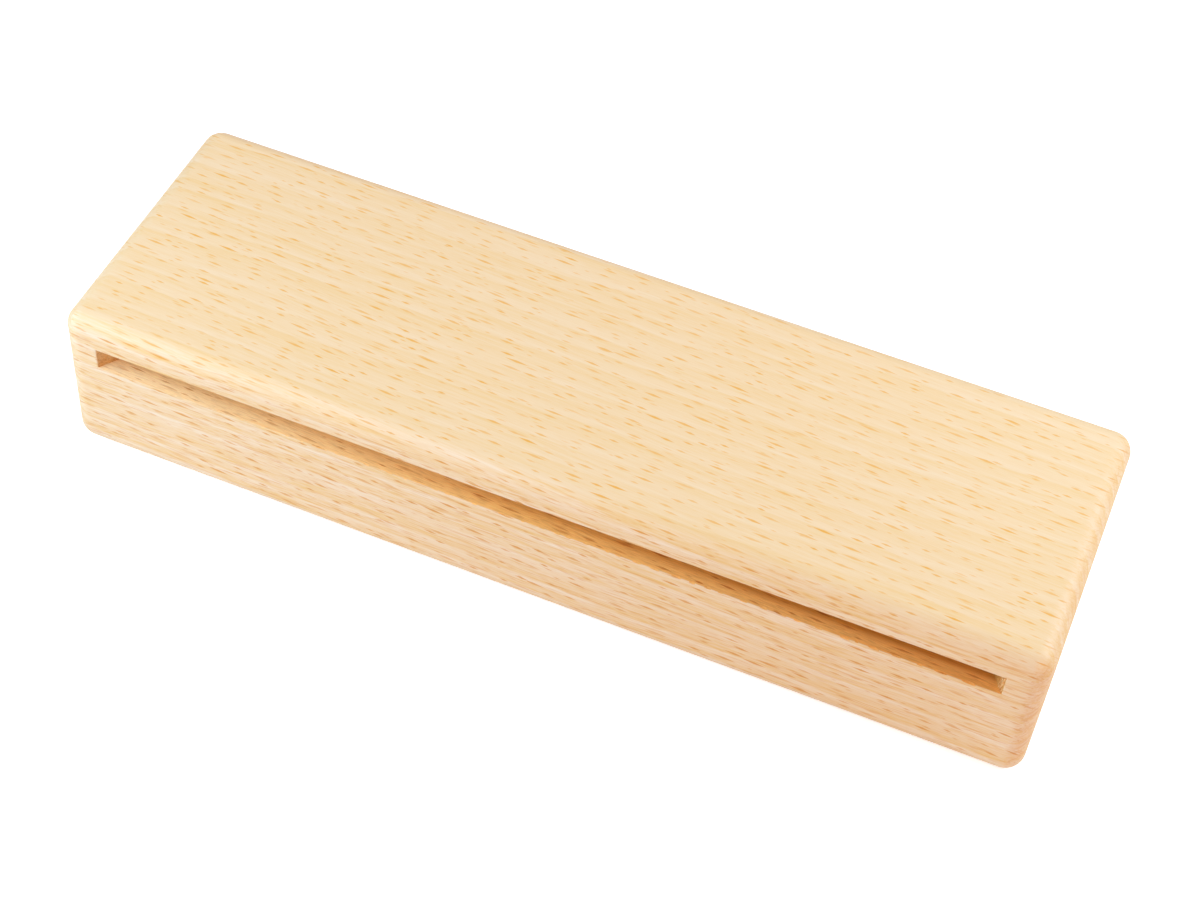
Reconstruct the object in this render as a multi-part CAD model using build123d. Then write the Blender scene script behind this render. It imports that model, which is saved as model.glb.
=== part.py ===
from build123d import *
import os

# Woodblock: one solid beech bar with a sound slot cut into its front side.
# Frame: X along the grain, front side at -Y, striking face at +Z.
# The origin is the middle of the base. All sizes are in millimetres.

# Outer sizes of the bar
LENGTH = 200.0
WIDTH = 62.5
HEIGHT = 35.5
EDGE_RADIUS = 4.0

# Sound slot: the wood that stays around it, and its own height
TONGUE_THICKNESS = 6.5
SLOT_HEIGHT = 5.0
END_WALL = 7.5
BACK_WALL = 17.5

# Straight feed of the grooving disc along the bar once it is at full depth
DISC_FEED = 18.0

# Places that follow from the sizes above
FRONT_Y = -WIDTH / 2
SLOT_FLOOR_Z = HEIGHT - TONGUE_THICKNESS - SLOT_HEIGHT
SLOT_MOUTH = LENGTH - 2 * END_WALL
SLOT_DEPTH = WIDTH - BACK_WALL


def disc_radius() -> float:
    """Radius of the disc whose cut is as wide as the mouth at the front side."""
    half_chord = (SLOT_MOUTH - DISC_FEED) / 2
    return (half_chord**2 + SLOT_DEPTH**2) / (2 * SLOT_DEPTH)


def rounded_bar() -> Part:
    """The planed bar, with every edge rounded over and ball corners."""
    bar = Box(LENGTH, WIDTH, HEIGHT, align=(Align.CENTER, Align.CENTER, Align.MIN))
    return fillet(bar.edges(), EDGE_RADIUS)


def disc_sweep() -> Part:
    """Space that the grooving disc passes through, from its plunge to the end of its feed."""
    radius = disc_radius()
    path = SlotCenterToCenter(DISC_FEED, 2 * radius)
    sweep = extrude(path, SLOT_HEIGHT)
    return Pos(0, FRONT_Y + SLOT_DEPTH - radius, SLOT_FLOOR_Z) * sweep


def block() -> Part:
    """The finished bar with its sound slot, open at the front side only."""
    return rounded_bar() - disc_sweep()


os.makedirs("parts", exist_ok=True)
export_step(block(), "parts/block.step")
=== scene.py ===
import logging
import math
import random
from dataclasses import dataclass
from enum import Enum
from typing import Any, Callable

import bpy
from mathutils import Euler, Matrix, Vector


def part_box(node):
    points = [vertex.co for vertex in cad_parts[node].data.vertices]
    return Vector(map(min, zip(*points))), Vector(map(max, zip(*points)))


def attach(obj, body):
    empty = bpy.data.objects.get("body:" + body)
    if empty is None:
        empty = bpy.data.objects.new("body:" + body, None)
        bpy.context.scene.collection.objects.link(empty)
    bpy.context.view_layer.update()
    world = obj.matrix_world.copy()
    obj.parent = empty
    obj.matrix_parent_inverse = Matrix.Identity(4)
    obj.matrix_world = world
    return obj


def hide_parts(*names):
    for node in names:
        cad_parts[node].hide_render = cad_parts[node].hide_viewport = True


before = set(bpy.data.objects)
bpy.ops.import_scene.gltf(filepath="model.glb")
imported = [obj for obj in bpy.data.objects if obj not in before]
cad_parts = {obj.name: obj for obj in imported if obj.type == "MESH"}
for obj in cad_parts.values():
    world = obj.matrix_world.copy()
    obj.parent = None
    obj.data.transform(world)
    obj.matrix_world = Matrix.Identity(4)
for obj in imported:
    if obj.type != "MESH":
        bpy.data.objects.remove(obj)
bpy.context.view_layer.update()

LOG = logging.getLogger("woodblock")
MM = 0.001
WHITE = "FFFFFF"

# Colour sockets of a Mix node, which also holds sockets for other kinds of data
MIX_A = 6
MIX_B = 7
MIX_RESULT = 2


class Skin(Enum):
    """Material slots of the block: the lacquered outside, the bare cut of the slot, and torn fibres."""

    LACQUERED = 0
    SAWN = 1
    TORN = 2


class Carving(Enum):
    """What a tool's shape does to a piece, under Blender's own names."""

    TAKE_OUT = "DIFFERENCE"
    ADD = "UNION"


def linear(hex_colour: str) -> tuple[float, float, float, float]:
    """Turns an sRGB hex colour into linear RGBA.

    Args:
        hex_colour: six hex digits, such as "F0D2A4".

    Returns:
        Red, green, blue and an alpha of 1, all linear.
    """
    parts = [int(hex_colour[i:i + 2], 16) / 255 for i in (0, 2, 4)]
    red, green, blue = [p / 12.92 if p <= 0.04045 else ((p + 0.055) / 1.055) ** 2.4 for p in parts]
    return red, green, blue, 1.0


def add_node(tree: bpy.types.NodeTree, kind: str, inputs: dict[str | int, Any] | None = None,
             **settings: Any) -> bpy.types.Node:
    """Adds a shader node with its settings, values and links.

    Args:
        tree: node tree that takes the node.
        kind: type of the node, without Blender's ShaderNode prefix.
        inputs: socket name or number to a plain value, or to the output that feeds it.
        settings: the node's own properties, such as operation.

    Returns:
        The new node.
    """
    made = tree.nodes.new("ShaderNode" + kind)
    for name, value in settings.items():
        setattr(made, name, value)
    for key, value in (inputs or {}).items():
        if isinstance(value, bpy.types.NodeSocket):
            tree.links.new(value, made.inputs[key])
        else:
            made.inputs[key].default_value = value
    return made


def deselect_all() -> None:
    """Leaves no object selected or active, so that an operator acts on the new piece alone."""
    for item in bpy.context.selected_objects:
        item.select_set(False)
    bpy.context.view_layer.objects.active = None


def take_up(*pieces: bpy.types.Object) -> None:
    """Selects these pieces alone and makes the first one active."""
    deselect_all()
    for piece in pieces:
        piece.select_set(True)
    bpy.context.view_layer.objects.active = pieces[0]


def copy_to(piece: bpy.types.Object, place: Vector, turn: Euler, size: Vector) -> bpy.types.Object:
    """Copies a piece with its own mesh, and puts the copy's place into that mesh.

    Args:
        piece: what is copied; it stays as it is.
        place: where the copy's own origin goes.
        turn: how it is turned.
        size: how it is stretched before that.

    Returns:
        The copy, unturned and unscaled at the origin.
    """
    take_up(piece)
    bpy.ops.object.duplicate(linked=False)
    copy = bpy.context.active_object
    copy.location = place
    copy.rotation_euler = turn
    copy.scale = size
    bpy.ops.object.transform_apply(location=True, rotation=True, scale=True)
    return copy


def carve(piece: bpy.types.Object, tool: bpy.types.Object, carving: Carving, skin: Skin) -> None:
    """Takes a tool's shape out of a piece or adds it, and removes the tool.

    Args:
        piece: the piece that changes.
        tool: closed mesh that is used up.
        carving: whether the shape is taken out or added.
        skin: finish of the faces that come from the tool.
    """
    tool.data.materials.clear()
    for finish in piece.data.materials:
        tool.data.materials.append(finish)
    for face in tool.data.polygons:
        face.material_index = skin.value
    take_up(piece)
    cut = piece.modifiers.new("carve", "BOOLEAN")
    cut.operation = carving.value
    cut.solver = "EXACT"
    cut.use_self = True
    cut.object = tool
    bpy.ops.object.modifier_apply(modifier=cut.name)
    bpy.data.objects.remove(tool)


def select_corners(piece: bpy.types.Object, wanted: Callable[[Vector], bool]) -> None:
    """Opens the active piece for editing with only some of its corners selected.

    Args:
        piece: the active object.
        wanted: says for a corner's place whether it is to be selected.
    """
    bpy.ops.object.mode_set(mode="EDIT")
    bpy.ops.mesh.select_mode(type="VERT")
    bpy.ops.mesh.select_all(action="DESELECT")
    bpy.ops.object.mode_set(mode="OBJECT")
    for corner in piece.data.vertices:
        corner.select = wanted(corner.co)
    bpy.ops.object.mode_set(mode="EDIT")


@dataclass(frozen=True)
class RayLayer:
    """One size class of medullary rays: thin sheets along the radius, seen end-on as slim spindles.

    Attributes:
        spacing: mean distance between rays along the grain and round the rings, in millimetres.
        half_height: half the usual height along the grain, in millimetres.
        half_thickness: half the usual thickness round the rings, in millimetres.
        faintest: strength of the faintest ray.
        strength: strength of the boldest ray.
        seed_shift: moves the layer, so that no two layers draw the same rays.
        scatter: how far rays stray from an even grid, from 0 to 1.
        rarity: power that makes large rays rarer.
        height_shares: least and most share of half_height.
        thickness_shares: least and most share of half_thickness.
        taper: power that draws the spindle's ends out.
        edge: distance from the middle where a ray starts to show and where it is full.
    """

    spacing: tuple[float, float]
    half_height: float
    half_thickness: float
    faintest: float
    strength: float
    seed_shift: float
    scatter: float = 0.8
    rarity: float = 1.6
    height_shares: tuple[float, float] = (0.4, 1.1)
    thickness_shares: tuple[float, float] = (0.8, 1.1)
    taper: float = 1.1
    edge: tuple[float, float] = (1.0, 0.55)

    def build(self, tree: bpy.types.NodeTree, wood: bpy.types.NodeSocket) -> bpy.types.NodeSocket:
        """Adds the nodes of this layer.

        Args:
            tree: node tree of the material.
            wood: place in the wood, in millimetres along grain, ring and radius.

        Returns:
            A mask that is near 1 in the middle of a bold ray and 0 between rays.
        """
        grain, ring = self.spacing
        cells = add_node(tree, "VectorMath", {0: wood, 1: (1 / grain, 1 / ring, 0.0)}, operation="MULTIPLY")
        moved = add_node(tree, "VectorMath", {0: cells.outputs[0], 1: (self.seed_shift,) * 3})
        rays = add_node(tree, "TexVoronoi", {"Vector": moved.outputs[0], "Scale": 1.0,
                                             "Randomness": self.scatter}, voronoi_dimensions="2D")
        offset = add_node(tree, "VectorMath", {0: moved.outputs[0], 1: rays.outputs["Position"]},
                          operation="SUBTRACT")
        away = add_node(tree, "SeparateXYZ", {0: offset.outputs[0]})
        # A cell's colour repeats its place, so it is drawn again before it sets the size
        draw = add_node(tree, "TexWhiteNoise", {"Vector": rays.outputs["Color"]}, noise_dimensions="3D")
        chance = add_node(tree, "SeparateColor", {0: draw.outputs["Color"]})
        bulk = add_node(tree, "Math", {0: chance.outputs[0], 1: self.rarity}, operation="POWER")
        low, high = (share * self.half_height / grain for share in self.height_shares)
        tall = add_node(tree, "MapRange", {"Value": bulk.outputs[0], "To Min": low, "To Max": high})
        low, high = (share * self.half_thickness / ring for share in self.thickness_shares)
        thick = add_node(tree, "MapRange", {"Value": bulk.outputs[0], "To Min": low, "To Max": high})
        along = add_node(tree, "Math", {0: away.outputs[0], 1: tall.outputs[0]}, operation="DIVIDE")
        reach = add_node(tree, "Math", {0: along.outputs[0]}, operation="ABSOLUTE")
        taper = add_node(tree, "Math", {0: reach.outputs[0], 1: self.taper}, operation="POWER")
        across = add_node(tree, "Math", {0: away.outputs[1], 1: thick.outputs[0]}, operation="DIVIDE")
        side = add_node(tree, "Math", {0: across.outputs[0]}, operation="ABSOLUTE")
        shape = add_node(tree, "Math", {0: taper.outputs[0], 1: side.outputs[0]})
        spindle = add_node(tree, "MapRange", {"Value": shape.outputs[0], "From Min": self.edge[0],
                                              "From Max": self.edge[1]}, interpolation_type="SMOOTHSTEP")
        depth = add_node(tree, "MapRange", {"Value": chance.outputs[2], "To Min": self.faintest,
                                            "To Max": self.strength})
        return add_node(tree, "Math", {0: spindle.outputs[0], 1: depth.outputs[0]},
                        operation="MULTIPLY").outputs[0]


@dataclass(frozen=True)
class BeechFigure:
    """How the beech grew and how the bar lies in the log, in millimetres and degrees.

    The rings climb towards the back at ring_slope on the end faces, so the top and the front
    are both cut aslant to them and both show ray spindles. The pith is above the front edge.
    A size of three numbers runs along grain, ring and radius.

    Attributes:
        ring_width: one year's growth.
        ring_slope: angle of the rings on the end faces.
        ring_drift: shift of a ring along the radius for each millimetre of grain.
        pith_distance: from the middle of the base to the pith.
        fibre_tilt: angle between the fibres and the bar, seen from above.
        rays: size classes of rays.
        year_pace: how fast and how far wide and narrow years alternate.
        ring_fray: how far fibres fray a ring's edge, in years.
        ring_stops: place in a year and tone there, from the early wood to the dark outer edge.
        vigour: contrast of the weakest and of the strongest year.
        middle_tone: tone about which contrast swings.
        sway_size: size of the slow waves in the growth.
        sway: how far they move the wood.
        broad_fibres: size of broad fibre streaks.
        fine_fibres: size of fine fibre streaks.
        pores: their size. Real ones are about 0.06 mm wide; these are coarser so that they show.
        contrast: of rings and fibres, on level and on upright faces.
        ray_groups: size of areas with bolder or fainter rays.
        flank_lines: size of the dark fibre lines on upright faces.
        season_layers: size of one season's thin layers along the rings.
        torn_fibres: size of fibres that a rough cut tears.
    """

    ring_width: float = 3.25
    ring_slope: float = 40.0
    ring_drift: float = -0.0615
    pith_distance: float = 300.0
    fibre_tilt: float = -3.0
    rays: tuple[RayLayer, RayLayer] = (
        RayLayer((7.6, 1.4), 2.9, 0.23, 0.5, 1.0, 3.7),
        RayLayer((6.2, 1.05), 1.9, 0.17, 0.0, 0.6, 11.3),
    )
    year_pace: tuple[float, float] = (0.37, 1.4)
    ring_fray: float = 0.3
    ring_stops: tuple[tuple[float, float], ...] = (
        (0.0, 0.3), (0.1, 0.72), (0.18, 0.9), (0.34, 0.6), (0.6, 0.42), (0.84, 0.25), (0.94, 0.12),
    )
    vigour: tuple[float, float] = (0.45, 1.15)
    middle_tone: float = 0.42
    sway_size: tuple[float, float, float] = (50.0, 20.0, 20.0)
    sway: tuple[float, float, float] = (0.0, 2.2, 2.2)
    broad_fibres: tuple[float, float, float] = (45.0, 1.0, 1.0)
    fine_fibres: tuple[float, float, float] = (12.0, 0.3, 0.3)
    pores: tuple[float, float, float] = (2.5, 0.2, 0.2)
    contrast: tuple[float, float] = (0.9, 2.0)
    ray_groups: tuple[float, float, float] = (22.0, 4.0, 4.0)
    flank_lines: tuple[float, float, float] = (22.0, 0.42, 0.42)
    season_layers: tuple[float, float, float] = (30.0, 40.0, 0.5)
    torn_fibres: tuple[float, float, float] = (2.6, 0.3, 0.3)

    def axes(self) -> Matrix:
        """The wood's own axes: along the fibres, round the rings, and out along the radius."""
        slope, tilt = math.radians(self.ring_slope), math.radians(self.fibre_tilt)
        fibre = Vector((math.cos(tilt), math.sin(tilt), 0.0))
        outward = Vector((0.0, math.sin(slope), -math.cos(slope)))
        outward = (outward - fibre * outward.dot(fibre)).normalized()
        return Matrix((fibre, outward.cross(fibre), outward))


@dataclass(frozen=True)
class Facing:
    """Outputs that say how a spot of the surface lies.

    Attributes:
        place: where it is on the object, in metres.
        normal: the direction it faces.
        flank: 1 on upright faces, 0 on level ones.
        end: 1 on end grain, 0 along the fibres.
    """

    place: bpy.types.NodeSocket
    normal: bpy.types.NodeSocket
    flank: bpy.types.NodeSocket
    end: bpy.types.NodeSocket


@dataclass(frozen=True)
class WoodNodes:
    """Outputs that a beech finish is made from: its colour, a height for the bump, and the fine fibres."""

    colour: bpy.types.NodeSocket
    relief: bpy.types.NodeSocket
    fibres: bpy.types.NodeSocket


@dataclass(frozen=True)
class Beech:
    """Straight-grained steamed beech: pale growth bands, orange ray spindles, fine fibre streaks.

    Attributes:
        name: name of the material.
        early_wood: colour of the pale growth bands.
        late_wood: colour of the dark growth bands.
        ray: colour of the rays on level faces.
        flank_ray: colour of the rays and fibre lines on upright faces.
        roughness: least and most, following the fine fibres.
        end_grain: colour that end grain is multiplied by.
        fuzz: how far torn fibres vary the colour; 0 for a smooth surface.
        right_end_shade: painted shade, darker towards the right end: colours that multiply the middle and the
            right end of the cut.
        lip_shade: colour of the painted shade under the slot's upper lip, which multiplies the wood.
        relief: strength of the bump.
        ior: index of refraction.
        relief_depth: depth of the bump in metres.
        figure: how the wood grew.
    """

    name: str
    early_wood: str
    late_wood: str
    ray: str
    flank_ray: str
    roughness: tuple[float, float]
    end_grain: str
    fuzz: float = 0.0
    # Painted shade: darker towards the right end, and under the slot's upper lip
    right_end_shade: tuple[str, str] = (WHITE, WHITE)
    lip_shade: str = WHITE
    relief: float = 0.12
    ior: float = 1.5
    relief_depth: float = 0.05 * MM
    figure: BeechFigure = BeechFigure()

    def facing(self, tree: bpy.types.NodeTree) -> Facing:
        """Adds the nodes that say how a spot of the surface lies."""
        spot = add_node(tree, "TexCoord")
        turned = add_node(tree, "SeparateXYZ", {0: spot.outputs["Normal"]})
        level = add_node(tree, "Math", {0: turned.outputs[2], 1: turned.outputs[2]}, operation="MULTIPLY")
        flank = add_node(tree, "Math", {0: 1.0, 1: level.outputs[0]}, operation="SUBTRACT")
        end = add_node(tree, "Math", {0: turned.outputs[0], 1: turned.outputs[0]}, operation="MULTIPLY")
        return Facing(spot.outputs["Object"], spot.outputs["Normal"], flank.outputs[0], end.outputs[0])

    def wood_place(self, tree: bpy.types.NodeTree) -> bpy.types.NodeSocket:
        """Adds the nodes that turn the object's place into millimetres along grain, ring and radius."""
        place = add_node(tree, "TexCoord")
        turn = self.figure.axes().to_euler()
        wood = add_node(tree, "Mapping", {"Vector": place.outputs["Object"], "Rotation": turn,
                                          "Scale": (1 / MM,) * 3})
        waves = tuple(1 / length for length in self.figure.sway_size)
        slow = add_node(tree, "VectorMath", {0: wood.outputs[0], 1: waves}, operation="MULTIPLY")
        sway = add_node(tree, "TexNoise", {"Vector": slow.outputs[0], "Scale": 1.0, "Detail": 1.0})
        centred = add_node(tree, "VectorMath", {0: sway.outputs["Color"], 1: (0.5, 0.5, 0.5)},
                           operation="SUBTRACT")
        wander = add_node(tree, "VectorMath", {0: centred.outputs[0], 1: self.figure.sway},
                          operation="MULTIPLY")
        return add_node(tree, "VectorMath", {0: wood.outputs[0], 1: wander.outputs[0]}).outputs[0]

    def streaks(self, tree: bpy.types.NodeTree, wood: bpy.types.NodeSocket,
                size: tuple[float, float, float]) -> bpy.types.NodeSocket:
        """Adds fibre streaks, from 0 to 1, of a size in millimetres along grain, ring and radius."""
        stretched = add_node(tree, "VectorMath", {0: wood, 1: tuple(1 / length for length in size)},
                             operation="MULTIPLY")
        return add_node(tree, "TexNoise", {"Vector": stretched.outputs[0], "Scale": 1.0, "Detail": 2.0,
                                           "Roughness": 0.6}).outputs[0]

    def ring_tone(self, tree: bpy.types.NodeTree, wood: bpy.types.NodeSocket,
                  fuzz: bpy.types.NodeSocket) -> bpy.types.NodeSocket:
        """Adds the growth rings.

        Args:
            tree: node tree of the material.
            wood: place in the wood, in millimetres.
            fuzz: fibre streaks that fray the edge of a ring.

        Returns:
            A tone that is high in pale early wood and falls to the ring's dark outer edge.
        """
        figure = self.figure
        part = add_node(tree, "SeparateXYZ", {0: wood})
        drift = add_node(tree, "Math", {0: part.outputs[0], 1: figure.ring_drift, 2: part.outputs[2]},
                         operation="MULTIPLY_ADD")
        reach = add_node(tree, "Math", {0: drift.outputs[0], 1: figure.pith_distance})
        spot = add_node(tree, "CombineXYZ", {0: reach.outputs[0], 1: part.outputs[1], 2: 0.0})
        radius = add_node(tree, "VectorMath", {0: spot.outputs[0]}, operation="LENGTH")
        years = add_node(tree, "Math", {0: radius.outputs["Value"], 1: figure.ring_width}, operation="DIVIDE")
        rate, swing = figure.year_pace
        pace = add_node(tree, "TexNoise", {"W": years.outputs[0], "Scale": rate, "Detail": 0.0},
                        noise_dimensions="1D")
        uneven = add_node(tree, "Math", {0: pace.outputs[0], 1: swing, 2: years.outputs[0]},
                          operation="MULTIPLY_ADD")
        frayed = add_node(tree, "Math", {0: fuzz, 1: figure.ring_fray, 2: uneven.outputs[0]},
                          operation="MULTIPLY_ADD")
        phase = add_node(tree, "Math", {0: frayed.outputs[0]}, operation="FRACT")
        ramp = add_node(tree, "ValToRGB", {0: phase.outputs[0]})
        elements = ramp.color_ramp.elements
        # A new ramp already has two stops
        for number, (where, tone) in enumerate(figure.ring_stops):
            stop = elements[number] if number < 2 else elements.new(where)
            stop.position = where
            stop.color = (tone, tone, tone, 1.0)
        year = add_node(tree, "Math", {0: frayed.outputs[0]}, operation="FLOOR")
        luck = add_node(tree, "TexWhiteNoise", {"W": year.outputs[0]}, noise_dimensions="1D")
        vigour = add_node(tree, "MapRange", {"Value": luck.outputs["Value"], "To Min": figure.vigour[0],
                                             "To Max": figure.vigour[1]})
        bare = add_node(tree, "Math", {0: ramp.outputs[0], 1: figure.middle_tone}, operation="SUBTRACT")
        return add_node(tree, "Math", {0: bare.outputs[0], 1: vigour.outputs[0], 2: figure.middle_tone},
                        operation="MULTIPLY_ADD").outputs[0]

    def ground(self, tree: bpy.types.NodeTree, wood: bpy.types.NodeSocket, fine: bpy.types.NodeSocket,
               flank: bpy.types.NodeSocket) -> bpy.types.NodeSocket:
        """Adds the colour of rings, fibres and pores, without rays.

        Args:
            tree: node tree of the material.
            wood: place in the wood, in millimetres.
            fine: the fine fibre streaks.
            flank: 1 on upright faces, where the contrast is higher.

        Returns:
            A colour between late wood and early wood, or a little beyond either.
        """
        figure = self.figure
        broad = self.streaks(tree, wood, figure.broad_fibres)
        pores = self.streaks(tree, wood, figure.pores)
        tone = self.ring_tone(tree, wood, broad)
        fibres = add_node(tree, "Math", {0: broad, 1: fine})
        grain = add_node(tree, "Math", {0: pores, 1: 0.6, 2: fibres.outputs[0]}, operation="MULTIPLY_ADD")
        shade = add_node(tree, "MapRange", {"Value": grain.outputs[0], "From Min": 0.9, "From Max": 1.7,
                                            "To Min": -0.6, "To Max": 0.6})
        level = add_node(tree, "Math", {0: tone, 1: shade.outputs[0]})
        swing = add_node(tree, "Math", {0: level.outputs[0], 1: figure.middle_tone}, operation="SUBTRACT")
        bolder = add_node(tree, "MapRange", {"Value": flank, "To Min": figure.contrast[0],
                                             "To Max": figure.contrast[1]})
        marked = add_node(tree, "Math", {0: swing.outputs[0], 1: bolder.outputs[0], 2: figure.middle_tone},
                          operation="MULTIPLY_ADD")
        return add_node(tree, "Mix", {0: marked.outputs[0], MIX_A: linear(self.late_wood),
                                      MIX_B: linear(self.early_wood)},
                        data_type="RGBA", clamp_factor=False).outputs[MIX_RESULT]

    def ray_spots(self, tree: bpy.types.NodeTree, wood: bpy.types.NodeSocket,
                  facing: Facing) -> bpy.types.NodeSocket:
        """Adds the rays.

        On a quarter-cut rounding a ray would spread to a blot, and on end grain to a line across
        the face, so rays fade out there.

        Args:
            tree: node tree of the material.
            wood: place in the wood, in millimetres.
            facing: how the surface lies.

        Returns:
            A mask that is 1 in a bold ray and 0 between rays.
        """
        masks = [layer.build(tree, wood) for layer in self.figure.rays]
        both = add_node(tree, "Math", {0: masks[0], 1: masks[1]}, operation="MAXIMUM")
        groups = self.streaks(tree, wood, self.figure.ray_groups)
        crowd = add_node(tree, "MapRange", {"Value": groups, "From Min": 0.35, "From Max": 0.65,
                                            "To Min": 0.65, "To Max": 1.1})
        clear = add_node(tree, "Math", {0: facing.flank, 1: 0.18, 2: crowd.outputs[0]},
                         operation="MULTIPLY_ADD")
        skew = add_node(tree, "VectorMath", {0: facing.normal, 1: self.figure.axes()[1]},
                        operation="DOT_PRODUCT")
        quarter = add_node(tree, "Math", {0: skew.outputs["Value"]}, operation="ABSOLUTE")
        slim = add_node(tree, "MapRange", {"Value": quarter.outputs[0], "From Min": 0.8, "From Max": 0.96,
                                           "To Min": 1.0, "To Max": 0.1})
        crossed = add_node(tree, "MapRange", {"Value": facing.end, "To Min": 1.0, "To Max": 0.2})
        kept = add_node(tree, "Math", {0: slim.outputs[0], 1: crossed.outputs[0]}, operation="MULTIPLY")
        faded = add_node(tree, "Math", {0: both.outputs[0], 1: kept.outputs[0]}, operation="MULTIPLY")
        return add_node(tree, "Math", {0: faded.outputs[0], 1: clear.outputs[0]}, operation="MULTIPLY",
                        use_clamp=True).outputs[0]

    def fibre_lines(self, tree: bpy.types.NodeTree, wood: bpy.types.NodeSocket,
                    facing: Facing) -> bpy.types.NodeSocket:
        """Adds dark fibre lines on the flanks and, on end faces, the stripes of season layers cut across.

        Args:
            tree: node tree of the material.
            wood: place in the wood, in millimetres.
            facing: how the surface lies.

        Returns:
            A mask that is high in a line and 0 between lines.
        """
        # On the flanks the cut runs closer along the fibres, so darker fibre lines show there
        lines = add_node(tree, "MapRange", {"Value": self.streaks(tree, wood, self.figure.flank_lines),
                                            "From Min": 0.55, "From Max": 0.7, "To Max": 0.6})
        sided = add_node(tree, "Math", {0: lines.outputs[0], 1: facing.flank}, operation="MULTIPLY")
        layers = add_node(tree, "MapRange", {"Value": self.streaks(tree, wood, self.figure.season_layers),
                                             "From Min": 0.48, "From Max": 0.62})
        upright = add_node(tree, "Math", {0: facing.end, 1: facing.flank}, operation="MULTIPLY")
        stripe = add_node(tree, "MapRange", {"Value": facing.end, "To Min": 1.4, "To Max": 0.25})
        weight = add_node(tree, "Math", {0: upright.outputs[0], 1: stripe.outputs[0]}, operation="MULTIPLY")
        striped = add_node(tree, "Math", {0: layers.outputs[0], 1: weight.outputs[0]}, operation="MULTIPLY")
        return add_node(tree, "Math", {0: sided.outputs[0], 1: striped.outputs[0]},
                        operation="MAXIMUM").outputs[0]

    def figure_nodes(self, tree: bpy.types.NodeTree) -> WoodNodes:
        """Adds rings, fibres and rays, and mixes them to the wood's colour.

        Args:
            tree: node tree of the material.

        Returns:
            The colour, a height for the bump and the fibre pattern.
        """
        wood = self.wood_place(tree)
        facing = self.facing(tree)
        fine = self.streaks(tree, wood, self.figure.fine_fibres)
        ground = self.ground(tree, wood, fine, facing.flank)
        drawn = add_node(tree, "Math", {0: self.ray_spots(tree, wood, facing),
                                        1: self.fibre_lines(tree, wood, facing)}, operation="MAXIMUM")
        tint = add_node(tree, "Mix", {0: facing.flank, MIX_A: linear(self.ray),
                                      MIX_B: linear(self.flank_ray)}, data_type="RGBA")
        colour = add_node(tree, "Mix", {0: drawn.outputs[0], MIX_A: ground, MIX_B: tint.outputs[MIX_RESULT]},
                          data_type="RGBA")
        relief = add_node(tree, "Math", {0: drawn.outputs[0], 1: -0.5, 2: fine}, operation="MULTIPLY_ADD")
        # Surfaces cut across the fibres soak up more finish, so end grain is browner; on the other faces the
        # mix gives the painted shade that darkens the cut towards the right end
        end_grain_and_shade = add_node(tree, "Mix", {0: facing.end, MIX_A: self.painted_right_end_shade(tree, facing.place),
                                        MIX_B: linear(self.end_grain)}, data_type="RGBA")
        end_grain_and_shade_colour = add_node(tree, "VectorMath", {0: colour.outputs[MIX_RESULT], 1: end_grain_and_shade.outputs[MIX_RESULT]},
                        operation="MULTIPLY")
        if self.fuzz == 0.0:
            return WoodNodes(end_grain_and_shade_colour.outputs[0], relief.outputs[0], fine)
        torn = self.streaks(tree, wood, self.figure.torn_fibres)
        mottle = add_node(tree, "MapRange", {"Value": torn, "From Min": 0.3, "From Max": 0.7,
                                             "To Min": 1.0 - self.fuzz, "To Max": 1.0 + self.fuzz})
        patchy = add_node(tree, "VectorMath", {0: end_grain_and_shade_colour.outputs[0], "Scale": mottle.outputs[0]},
                          operation="SCALE")
        # Painted shade under the slot's upper lip
        lip_shade_tint = self.painted_lip_shade(tree, facing.place, torn)
        lip_shaded = add_node(tree, "VectorMath", {0: patchy.outputs[0], 1: lip_shade_tint}, operation="MULTIPLY")
        rough = add_node(tree, "Math", {0: torn, 1: 4.0, 2: relief.outputs[0]}, operation="MULTIPLY_ADD")
        return WoodNodes(lip_shaded.outputs[0], rough.outputs[0], fine)

    def painted_lip_shade(self, tree: bpy.types.NodeTree, place: bpy.types.NodeSocket,
                 torn: bpy.types.NodeSocket) -> bpy.types.NodeSocket:
        """Adds painted shade under the slot's upper lip, most towards the right end, with a ragged edge.

        Args:
            tree: node tree of the material.
            place: place on the object, in metres.
            torn: pattern of the torn fibres, which frays the edge.

        Returns:
            A colour to multiply the wood by, white at the mouth.
        """
        spot = add_node(tree, "SeparateXYZ", {0: place})
        frayed = add_node(tree, "Math", {0: torn, 1: 1.6 * MM, 2: spot.outputs[1]}, operation="MULTIPLY_ADD")
        grown = add_node(tree, "MapRange", {"Value": spot.outputs[0], "From Min": -20.0 * MM,
                                            "From Max": 60.0 * MM, "To Min": 0.1})
        inside = add_node(tree, "MapRange", {"Value": frayed.outputs[0], "From Min": -28.4 * MM,
                                             "From Max": -27.0 * MM, "To Max": grown.outputs[0]},
                          interpolation_type="SMOOTHSTEP")
        return add_node(tree, "Mix", {0: inside.outputs[0], MIX_A: linear(WHITE), MIX_B: linear(self.lip_shade)},
                        data_type="RGBA").outputs[MIX_RESULT]

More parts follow.
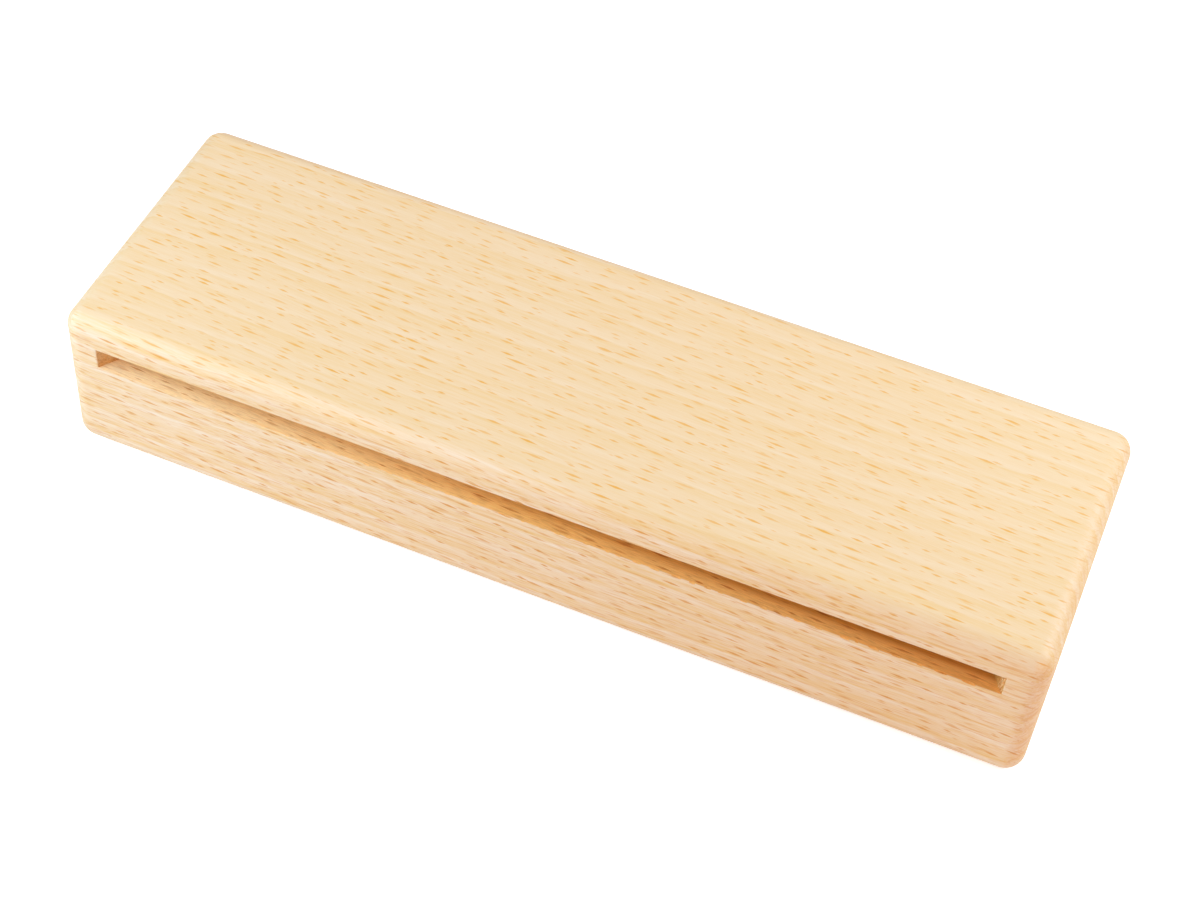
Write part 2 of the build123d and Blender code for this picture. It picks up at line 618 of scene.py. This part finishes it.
    def painted_right_end_shade(self, tree: bpy.types.NodeTree, place: bpy.types.NodeSocket) -> bpy.types.NodeSocket:
        """Adds painted shade on the cut, which darkens it towards the right end.

        Args:
            tree: node tree of the material.
            place: place on the object, in metres.

        Returns:
            A colour to multiply the wood by, white at the left end, where no shade is painted.
        """
        spot = add_node(tree, "SeparateXYZ", {0: place})
        rightwards = add_node(tree, "MapRange", {"Value": spot.outputs[0], "From Min": -95.0 * MM,
                                          "From Max": 90.0 * MM})
        ramp = add_node(tree, "ValToRGB", {0: rightwards.outputs[0]})
        elements = ramp.color_ramp.elements
        elements.new(0.5)
        for stop, colour in zip(elements, (WHITE, *self.right_end_shade)):
            stop.color = linear(colour)
        return ramp.outputs[0]

    def build(self) -> bpy.types.Material:
        """Makes the material."""
        material = bpy.data.materials.new(self.name)
        material.use_nodes = True
        tree = material.node_tree
        tree.nodes.clear()
        wood = self.figure_nodes(tree)
        gloss = add_node(tree, "MapRange", {"Value": wood.fibres, "To Min": self.roughness[0],
                                            "To Max": self.roughness[1]})
        bump = add_node(tree, "Bump", {"Height": wood.relief, "Strength": self.relief,
                                       "Distance": self.relief_depth})
        shader = add_node(tree, "BsdfPrincipled", {"Base Color": wood.colour, "Roughness": gloss.outputs[0],
                                                   "IOR": self.ior, "Normal": bump.outputs[0]})
        add_node(tree, "OutputMaterial", {"Surface": shader.outputs[0]})
        LOG.info("finish %s", self.name)
        return material


# Clear satin lacquer over planed beech: creamy ground, soft broad highlights on the rounded edges
LACQUERED_BEECH = Beech("lacquered_beech", early_wood="F1D6AD", late_wood="EECC94", ray="EBAE46",
                        flank_ray="E0A04A", roughness=(0.4, 0.5), end_grain="F8F1E7")
# Beech as the grooving disc left it: no lacquer film and torn, so it is duller; painted shade makes it warmer
# and darker towards the right end and under the upper lip
SAWN_BEECH = Beech("sawn_beech", early_wood="FFE4B2", late_wood="FCD9A0", ray="CC8C48", flank_ray="CC8C48",
                   roughness=(0.6, 0.75), end_grain="CCA866", fuzz=0.14, right_end_shade=("FFE7AE", "F7CE8C"),
                   lip_shade="DECF9E", relief=0.5)
# Fresh torn beech, never lacquered and without painted shade: the dullest of the three, and paler than the
# cut around it
TORN_BEECH = Beech("torn_beech", early_wood="FAD494", late_wood="EFBC74", ray="D08C42", flank_ray="D08C42",
                   roughness=(0.7, 0.85), end_grain="F8E8D0", fuzz=0.04, relief=0.3)


@dataclass
class SoundSlot:
    """The slot that a grooving disc leaves: plunged in from the front, then fed along the bar. Metres."""

    mouth: float = 185.0 * MM
    height: float = 5.0 * MM
    depth: float = 45.0 * MM
    feed: float = 18.0 * MM
    tongue: float = 6.5 * MM
    disc_corners: int = 512

    @property
    def radius(self) -> float:
        """Radius of the disc whose cut is as wide as the mouth at the front."""
        half_chord = (self.mouth - self.feed) / 2
        return (half_chord**2 + self.depth**2) / (2 * self.depth)

    def cutter(self, front: float, top: float) -> bpy.types.Object:
        """Models the space that the disc passes through.

        Args:
            front: Y of the block's front side.
            top: Z of the block's striking face.

        Returns:
            A closed mesh that is taken out of the block.
        """
        middle = (0.0, front + self.depth - self.radius, top - self.tongue - self.height / 2)
        deselect_all()
        bpy.ops.mesh.primitive_cylinder_add(vertices=self.disc_corners, radius=self.radius,
                                            depth=self.height, location=middle)
        disc = bpy.context.active_object
        bpy.ops.object.transform_apply(location=True, rotation=True, scale=True)
        for side in (-1, 1):
            select_corners(disc, lambda place: place.x * side > 0)
            bpy.ops.transform.translate(value=(side * self.feed / 2, 0.0, 0.0))
            bpy.ops.object.mode_set(mode="OBJECT")
        return disc


@dataclass
class MouthWear:
    """What the disc tore at the mouth: splinters out of the lower edge, and fibres left standing.

    Lengths are in metres, and a pair is the least and the most that is drawn.

    Attributes:
        seed: of all random draws.
        length: of a splinter along the edge.
        drop: how far its hollow goes down.
        reach: how far its hollow goes in.
        gap: between two splinters.
        margin: edge that stays whole at each end of the mouth.
        left_share: size of splinters at the left end against the right end.
        splinter_turn: in degrees, towards the right end.
        tufts: number of fibres left standing.
        tuft_length: of a fibre.
        tuft_radius: usual radius of a fibre.
        tuft_swell: factor on that radius.
        tuft_inset: from the mouth to a fibre.
        tuft_root: how far its middle stands off the wall.
        tuft_lean: slope at which it leans off the wall.
        tuft_stray: slopes at which it strays along the bar at most, and inwards.
    """

    seed: int = 23
    length: tuple[float, float] = (0.8 * MM, 3.4 * MM)
    drop: tuple[float, float] = (0.1 * MM, 0.3 * MM)
    reach: tuple[float, float] = (0.3 * MM, 0.6 * MM)
    gap: tuple[float, float] = (0.2 * MM, 3.0 * MM)
    margin: float = 1.0 * MM
    left_share: float = 0.4
    splinter_turn: tuple[float, float] = (0.0, 4.0)
    tufts: int = 16
    tuft_length: tuple[float, float] = (1.4 * MM, 3.0 * MM)
    tuft_radius: float = 0.2 * MM
    tuft_swell: tuple[float, float] = (0.7, 1.2)
    tuft_inset: tuple[float, float] = (0.5 * MM, 1.9 * MM)
    tuft_root: float = 0.05 * MM
    tuft_lean: tuple[float, float] = (0.05, 0.25)
    tuft_stray: tuple[float, float] = (0.1, 0.25)

    def ragged(self) -> bpy.types.Object:
        """Models the hollow of one splinter: a ball with a torn surface, of unit size."""
        deselect_all()
        bpy.ops.mesh.primitive_ico_sphere_add(subdivisions=2, radius=1.0)
        bpy.ops.object.mode_set(mode="EDIT")
        bpy.ops.transform.vertex_random(offset=0.12, normal=0.6, seed=self.seed)
        bpy.ops.object.mode_set(mode="OBJECT")
        return bpy.context.active_object

    def splinters(self, slot: SoundSlot, front: float, floor: float) -> bpy.types.Object:
        """Models the hollows of all splinters along the lower edge, larger towards the right end.

        Args:
            slot: the slot whose mouth has torn.
            front: Y of the block's front side.
            floor: Z of the slot's floor.

        Returns:
            One mesh of separate hollows, to be taken out of the block.
        """
        draw = random.Random(self.seed)
        one = self.ragged()
        hollows = []
        end = -slot.mouth / 2 + self.margin
        while True:
            share = self.left_share + (1.0 - self.left_share) * (end / slot.mouth + 0.5)
            length = share * draw.uniform(*self.length)
            middle = end + length / 2
            if middle + length / 2 > slot.mouth / 2 - self.margin:
                break
            size = Vector((length / 2, share * draw.uniform(*self.reach), share * draw.uniform(*self.drop)))
            turn = Euler((0.0, math.radians(draw.uniform(*self.splinter_turn)), 0.0))
            hollows.append(copy_to(one, Vector((middle, front, floor)), turn, size))
            end = middle + length / 2 + draw.uniform(*self.gap) / share
        take_up(*hollows)
        bpy.ops.object.join()
        bpy.data.objects.remove(one)
        return bpy.context.active_object

    def tuft(self) -> bpy.types.Object:
        """Models one torn fibre: an uneven, pointed stalk of unit size."""
        deselect_all()
        bpy.ops.mesh.primitive_cone_add(vertices=6, radius1=1.0, radius2=0.15, depth=2.0)
        bpy.ops.object.mode_set(mode="EDIT")
        bpy.ops.mesh.select_all(action="SELECT")
        bpy.ops.transform.vertex_random(offset=0.15, seed=self.seed)
        bpy.ops.object.mode_set(mode="OBJECT")
        return bpy.context.active_object

    def fibres(self, slot: SoundSlot, front: float, floor: float) -> bpy.types.Object:
        """Models the torn fibres that stand on the slot's right end wall, close to the mouth.

        Args:
            slot: the slot whose end wall has torn.
            front: Y of the block's front side.
            floor: Z of the slot's floor.

        Returns:
            One mesh of separate fibres, to be added to the block.
        """
        draw = random.Random(self.seed)
        one = self.tuft()
        centre = Vector((slot.feed / 2, front + slot.depth - slot.radius, 0.0))
        mouth_angle = math.atan2(front - centre.y, slot.mouth / 2 - centre.x)
        aside, inwards = self.tuft_stray
        tufts = []
        for number in range(self.tufts):
            angle = mouth_angle + draw.uniform(*self.tuft_inset) / slot.radius
            outward = Vector((math.cos(angle), math.sin(angle), 0.0))
            length = draw.uniform(*self.tuft_length)
            height = floor + slot.height * (number + 0.5) / self.tufts
            place = centre + outward * (slot.radius - self.tuft_root) + Vector((0.0, 0.0, height))
            lean = Vector((0.0, 0.0, -1.0)) - outward * draw.uniform(*self.tuft_lean)
            lean += Vector((draw.uniform(-aside, aside), draw.uniform(0.0, inwards), 0.0))
            turn = lean.to_track_quat("Z", "Y").to_euler()
            radius = self.tuft_radius * draw.uniform(*self.tuft_swell)
            tufts.append(copy_to(one, place, turn, Vector((radius, radius, length / 2))))
        take_up(*tufts)
        bpy.ops.object.join()
        bpy.data.objects.remove(one)
        return bpy.context.active_object


@dataclass
class WoodBlock:
    """The whole instrument: one rounded beech bar with its sound slot. Metres and degrees.

    Attributes:
        slot: the sound slot.
        wear: what the disc tore at its mouth.
        edge_radius: rounding of the bar's edges.
        edge_steps: faces across that rounding.
        easing: rounding of the mouth's edges.
        easing_steps: faces across that rounding.
        near: how close a corner counts as on the mouth's edge.
        smooth_angle: edges that turn more stay sharp.
        node: the solid that it takes the place of.
    """

    slot: SoundSlot
    wear: MouthWear
    edge_radius: float = 4.0 * MM
    edge_steps: int = 10
    easing: float = 0.16 * MM
    easing_steps: int = 4
    near: float = 0.001 * MM
    smooth_angle: float = 30.0
    node: str = "block"

    def bar(self) -> bpy.types.Object:
        """Models the planed bar, rounds all its edges over and gives it its finishes."""
        low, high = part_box(self.node)
        deselect_all()
        bpy.ops.mesh.primitive_cube_add(size=1.0, location=(low + high) / 2, scale=high - low)
        bpy.ops.object.transform_apply(location=True, rotation=True, scale=True)
        bpy.ops.object.mode_set(mode="EDIT")
        bpy.ops.mesh.select_all(action="SELECT")
        bpy.ops.mesh.bevel(offset=self.edge_radius, offset_type="OFFSET", segments=self.edge_steps,
                           profile=0.5, affect="EDGES")
        bpy.ops.object.mode_set(mode="OBJECT")
        bar = bpy.context.active_object
        finishes = {Skin.LACQUERED: LACQUERED_BEECH, Skin.SAWN: SAWN_BEECH, Skin.TORN: TORN_BEECH}
        for skin in Skin:
            bar.data.materials.append(finishes[skin].build())
        return bar

    def ease_mouth(self, bar: bpy.types.Object, front: float, floor: float) -> None:
        """Rounds the four edges of the mouth, as a pass of sandpaper and wear do.

        Args:
            bar: the bar with its slot cut.
            front: Y of its front side.
            floor: Z of the slot's floor.
        """
        half_mouth = self.slot.mouth / 2 + self.near
        lowest, highest = floor - self.near, floor + self.slot.height + self.near
        take_up(bar)
        bpy.ops.object.mode_set(mode="EDIT")
        bpy.ops.mesh.select_mode(type="EDGE")
        bpy.ops.mesh.select_all(action="DESELECT")
        bpy.ops.object.mode_set(mode="OBJECT")
        for edge in bar.data.edges:
            ends = [bar.data.vertices[index].co for index in edge.vertices]
            edge.select = all(abs(end.y - front) < self.near and abs(end.x) < half_mouth
                              and lowest < end.z < highest for end in ends)
        bpy.ops.object.mode_set(mode="EDIT")
        bpy.ops.mesh.bevel(offset=self.easing, segments=self.easing_steps, profile=0.5, affect="EDGES",
                           material=Skin.LACQUERED.value)
        bpy.ops.object.mode_set(mode="OBJECT")

    def build(self) -> None:
        """Builds the block and puts it in place of its solid."""
        low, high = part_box(self.node)
        front, floor = low.y, high.z - self.slot.tongue - self.slot.height
        bar = self.bar()
        bar.name = "woodblock"
        carve(bar, self.slot.cutter(front, high.z), Carving.TAKE_OUT, Skin.SAWN)
        self.ease_mouth(bar, front, floor)
        carve(bar, self.wear.splinters(self.slot, front, floor), Carving.TAKE_OUT, Skin.SAWN)
        carve(bar, self.wear.fibres(self.slot, front, floor), Carving.ADD, Skin.TORN)
        take_up(bar)
        bpy.ops.object.shade_smooth_by_angle(angle=math.radians(self.smooth_angle))
        weigh = bar.modifiers.new("flat faces stay flat", "WEIGHTED_NORMAL")
        weigh.keep_sharp = True
        bpy.ops.object.modifier_apply(modifier=weigh.name)
        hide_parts(self.node)
        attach(bar, "root")
        LOG.info("piece %s: %d faces", bar.name, len(bar.data.polygons))


@dataclass(frozen=True)
class Softbox:
    """A square soft lamp: where it hangs and its side, in metres, its power and its colour."""

    name: str
    place: tuple[float, float, float]
    side: float
    watts: float
    colour: str


@dataclass
class Studio:
    """White table, four soft lamps round the block, and the camera. Metres and degrees.

    Attributes:
        aim: where the camera points.
        distance: from there to the camera.
        azimuth: of the camera, from the front towards the right end.
        elevation: of the camera above the table.
        roll: of the camera about its own line of sight.
        lens: focal length in millimetres.
        sensor: width of the sensor in millimetres.
        clip_start: nearest distance that the camera sees.
        lit: where the lamps point.
        softboxes: the lamps.
        table_side: side of the table top.
        table_drop: gap under the block, so that no faces coincide.
        table_paint: colour of the table.
        table_glow: white that the camera sees added to it, close by and far off.
        glow_reach: where that starts to grow and where it is full.
        mirrored_glow: the same for reflections of the table.
        fill: colour of the surround's light.
        fill_strength: strength of that light.
    """

    aim: tuple[float, float, float] = (3.14 * MM, -3.46 * MM, 17.75 * MM)
    distance: float = 469.2 * MM
    azimuth: float = 18.016
    elevation: float = 49.32
    roll: float = 5.587
    lens: float = 71.416
    sensor: float = 36.0
    clip_start: float = 0.01
    lit: tuple[float, float, float] = (0.0, 0.0, 0.02)
    softboxes: tuple[Softbox, ...] = (
        Softbox("left front", (-0.27, -0.19, 0.26), 0.36, 2.18, "CAE4FF"),
        Softbox("right end", (0.28, 0.10, 0.22), 0.2, 0.84, "C8E7FF"),
        Softbox("back", (0.0, 0.55, 0.42), 0.5, 1.3, "FFEADC"),
        Softbox("right front", (0.5, -0.45, 0.25), 0.4, 1.5, "FFBE8C"),
    )
    table_side: float = 6.0
    table_drop: float = 0.02 * MM
    table_paint: str = "F2F4F7"
    table_glow: tuple[float, float] = (0.5, 0.95)
    glow_reach: tuple[float, float] = (0.22, 0.55)
    mirrored_glow: float = 0.1
    fill: str = "FFCBA0"
    fill_strength: float = 0.22

    def camera(self) -> None:
        """Places the camera at the photograph's angle."""
        turn, lift, roll = (math.radians(a) for a in (self.azimuth, self.elevation, self.roll))
        back = Vector((math.sin(turn) * math.cos(lift), -math.cos(turn) * math.cos(lift), math.sin(lift)))
        level = Vector((math.cos(turn), math.sin(turn), 0.0))
        right = level * math.cos(roll) + back.cross(level) * math.sin(roll)
        lens = bpy.data.cameras.new("camera")
        lens.lens = self.lens
        lens.sensor_fit = "HORIZONTAL"
        lens.sensor_width = self.sensor
        lens.clip_start = self.clip_start
        camera = bpy.data.objects.new("camera", lens)
        bpy.context.scene.collection.objects.link(camera)
        place = Matrix((right, back.cross(right), back)).transposed().to_4x4()
        place.translation = Vector(self.aim) + back * self.distance
        camera.matrix_world = place
        bpy.context.scene.camera = camera

    def softbox(self, box: Softbox) -> None:
        """Hangs one square soft lamp, turned to the block."""
        light = bpy.data.lights.new(box.name, "AREA")
        light.shape = "SQUARE"
        light.size = box.side
        light.energy = box.watts
        light.color = linear(box.colour)[:3]
        lamp = bpy.data.objects.new(box.name, light)
        bpy.context.scene.collection.objects.link(lamp)
        lamp.location = box.place
        lamp.rotation_euler = (Vector(self.lit) - lamp.location).to_track_quat("-Z", "Y").to_euler()

    def floor(self) -> None:
        """Lays the white table top, which is white to the camera and keeps the shadow."""
        deselect_all()
        bpy.ops.mesh.primitive_plane_add(size=self.table_side, location=(0.0, 0.0, -self.table_drop))
        bpy.ops.object.transform_apply(location=True, rotation=True, scale=True)
        table = bpy.context.active_object
        table.name = "table"
        # Matt white paint: an even pale ground that takes a soft shadow
        material = bpy.data.materials.new("white_table")
        material.use_nodes = True
        tree = material.node_tree
        tree.nodes.clear()
        paint = add_node(tree, "BsdfDiffuse", {"Color": linear(self.table_paint)})
        path = add_node(tree, "LightPath")
        mirrored = add_node(tree, "Math", {0: path.outputs["Is Glossy Ray"], 1: self.mirrored_glow},
                            operation="MULTIPLY")
        place = add_node(tree, "TexCoord")
        away = add_node(tree, "VectorMath", {0: place.outputs["Object"]}, operation="LENGTH")
        # Far from the lamps the table glows more, so that it is white up to the horizon
        lift = add_node(tree, "MapRange", {"Value": away.outputs["Value"], "From Min": self.glow_reach[0],
                                           "From Max": self.glow_reach[1], "To Min": self.table_glow[0],
                                           "To Max": self.table_glow[1]})
        seen = add_node(tree, "Math", {0: path.outputs["Is Camera Ray"], 1: lift.outputs[0],
                                       2: mirrored.outputs[0]}, operation="MULTIPLY_ADD")
        glow = add_node(tree, "Emission", {"Color": linear(WHITE), "Strength": seen.outputs[0]})
        both = add_node(tree, "AddShader", {0: paint.outputs[0], 1: glow.outputs[0]})
        add_node(tree, "OutputMaterial", {"Surface": both.outputs[0]})
        table.data.materials.append(material)

    def world(self) -> None:
        """Gives a surround that is white to the camera and in reflections, and fills the shadows."""
        world = bpy.data.worlds.new("surround")
        bpy.context.scene.world = world
        world.use_nodes = True
        tree = world.node_tree
        tree.nodes.clear()
        path = add_node(tree, "LightPath")
        seen = add_node(tree, "Math", {0: path.outputs["Is Camera Ray"], 1: path.outputs["Is Glossy Ray"]},
                        operation="MAXIMUM")
        fill = add_node(tree, "Background", {"Color": linear(self.fill), "Strength": self.fill_strength})
        white = add_node(tree, "Background", {"Color": linear(WHITE), "Strength": 1.0})
        glow = add_node(tree, "MixShader", {0: seen.outputs[0], 1: fill.outputs[0], 2: white.outputs[0]})
        add_node(tree, "OutputWorld", {"Surface": glow.outputs[0]})

    def build(self) -> None:
        """Sets up table, lamps, surround and camera."""
        self.floor()
        self.world()
        for box in self.softboxes:
            self.softbox(box)
        self.camera()
        bpy.context.scene.view_settings.view_transform = "Standard"
        LOG.info("studio ready")


def main() -> None:
    """Builds the block and the studio around it."""
    logging.basicConfig(level=logging.INFO, format="%(name)s: %(message)s")
    WoodBlock(SoundSlot(), MouthWear()).build()
    Studio().build()


if __name__ == "__main__":
    main()
